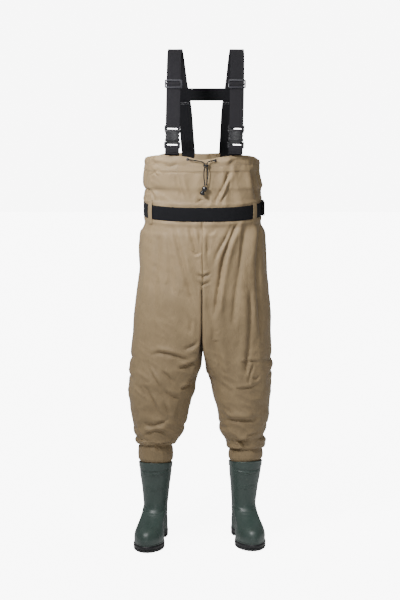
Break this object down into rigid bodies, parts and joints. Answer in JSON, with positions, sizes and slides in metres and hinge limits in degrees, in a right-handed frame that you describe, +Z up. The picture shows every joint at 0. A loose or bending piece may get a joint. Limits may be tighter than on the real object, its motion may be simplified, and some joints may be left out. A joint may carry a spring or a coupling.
{
  "type": "chest waders",
  "caption": "Chest waders: a hollow tan cloth bib and trousers sealed into green rubber boots, with black webbing braces, a waist belt, buckles and a drawcord.",
  "frame": {"origin": "on the floor, under the middle of the bounding box, between the boots", "axes": "+Z up along the wearer's height, -Y towards the wearer's front, +X towards the wearer's left"},
  "size_m": [0.5324, 0.3709, 1.8104],
  "materials": {
    "tan_coated_cloth": "plain woven cloth, coated inside",
    "tan_tape": "folded woven tape",
    "green_boot_rubber": "smooth moulded, semi-gloss",
    "black_sole_rubber": "moulded, matte",
    "grey_insole_felt": "felt",
    "charcoal_webbing": "ribbed webbing",
    "black_elastic_webbing": "elastic webbing",
    "black_buckle_plastic": "moulded, semi-gloss",
    "slate_slider_plastic": "moulded, semi-gloss",
    "black_cord": "braided cord",
    "black_toggle_plastic": "moulded, glossy",
    "black_eyelet_metal": "black painted"
  },
  "bodies": {
    "root": {"belt": "charcoal_webbing", "belt_buckle_plug": "black_buckle_plastic", "belt_buckle_socket": "black_buckle_plastic", "belt_loop_back_left": "tan_tape", "belt_loop_back_right": "tan_tape", "belt_loop_front_left": "tan_tape", "belt_loop_front_right": "tan_tape", "boot_left": "green_boot_rubber", "boot_right": "green_boot_rubber", "brace_back_left": "black_elastic_webbing", "brace_back_right": "black_elastic_webbing", "brace_crossbar": "black_elastic_webbing", "brace_front_left": "charcoal_webbing", "brace_front_right": "charcoal_webbing", "brace_lower_left": "charcoal_webbing", "brace_lower_right": "charcoal_webbing", "buckle_left_plug": "black_buckle_plastic", "buckle_left_socket": "black_buckle_plastic", "buckle_right_plug": "black_buckle_plastic", "buckle_right_socket": "black_buckle_plastic", "cord_bead": "black_toggle_plastic", "drawcord_left": "black_cord", "drawcord_right": "black_cord", "eyelet_left": "black_eyelet_metal", "eyelet_right": "black_eyelet_metal", "insole_left": "grey_insole_felt", "insole_right": "grey_insole_felt", "outsole_left": "black_sole_rubber", "outsole_right": "black_sole_rubber", "slider_left": "slate_slider_plastic", "slider_right": "slate_slider_plastic", "toggle": "black_toggle_plastic", "wader_shell": "tan_coated_cloth"}
  },
  "joints": []
}
